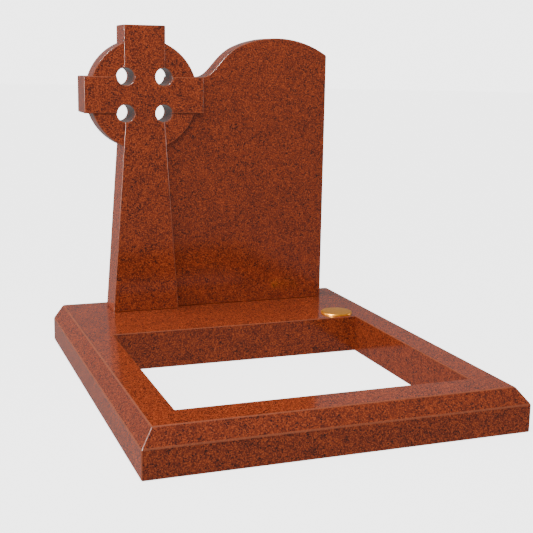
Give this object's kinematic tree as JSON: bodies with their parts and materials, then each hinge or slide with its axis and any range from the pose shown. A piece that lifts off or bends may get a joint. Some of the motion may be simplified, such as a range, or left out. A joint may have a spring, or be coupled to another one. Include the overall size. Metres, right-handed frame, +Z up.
{
  "type": "grave kerb set",
  "caption": "Polished red granite grave kerb set with splayed kerbs, an arched headstone with a raised wheel cross on its left, and a gold lid over a flower container",
  "frame": {"origin": "on the ground at the middle of the kerb surround", "axes": "+Z up, +Y to the head end behind the headstone, +X to the right for someone who faces the headstone"},
  "size_m": [0.914, 1.11, 0.921],
  "materials": {
    "red_granite": "polished red granite with fine dark speckle",
    "container_metal": "plain spun metal",
    "gold_lid": "satin gold"
  },
  "bodies": {
    "root": {"headstone": "red_granite", "head_base": "red_granite", "left_kerb": "red_granite", "right_kerb": "red_granite", "foot_kerb": "red_granite", "flower_container": "container_metal", "flower_container_lid": "gold_lid"}
  },
  "joints": []
}
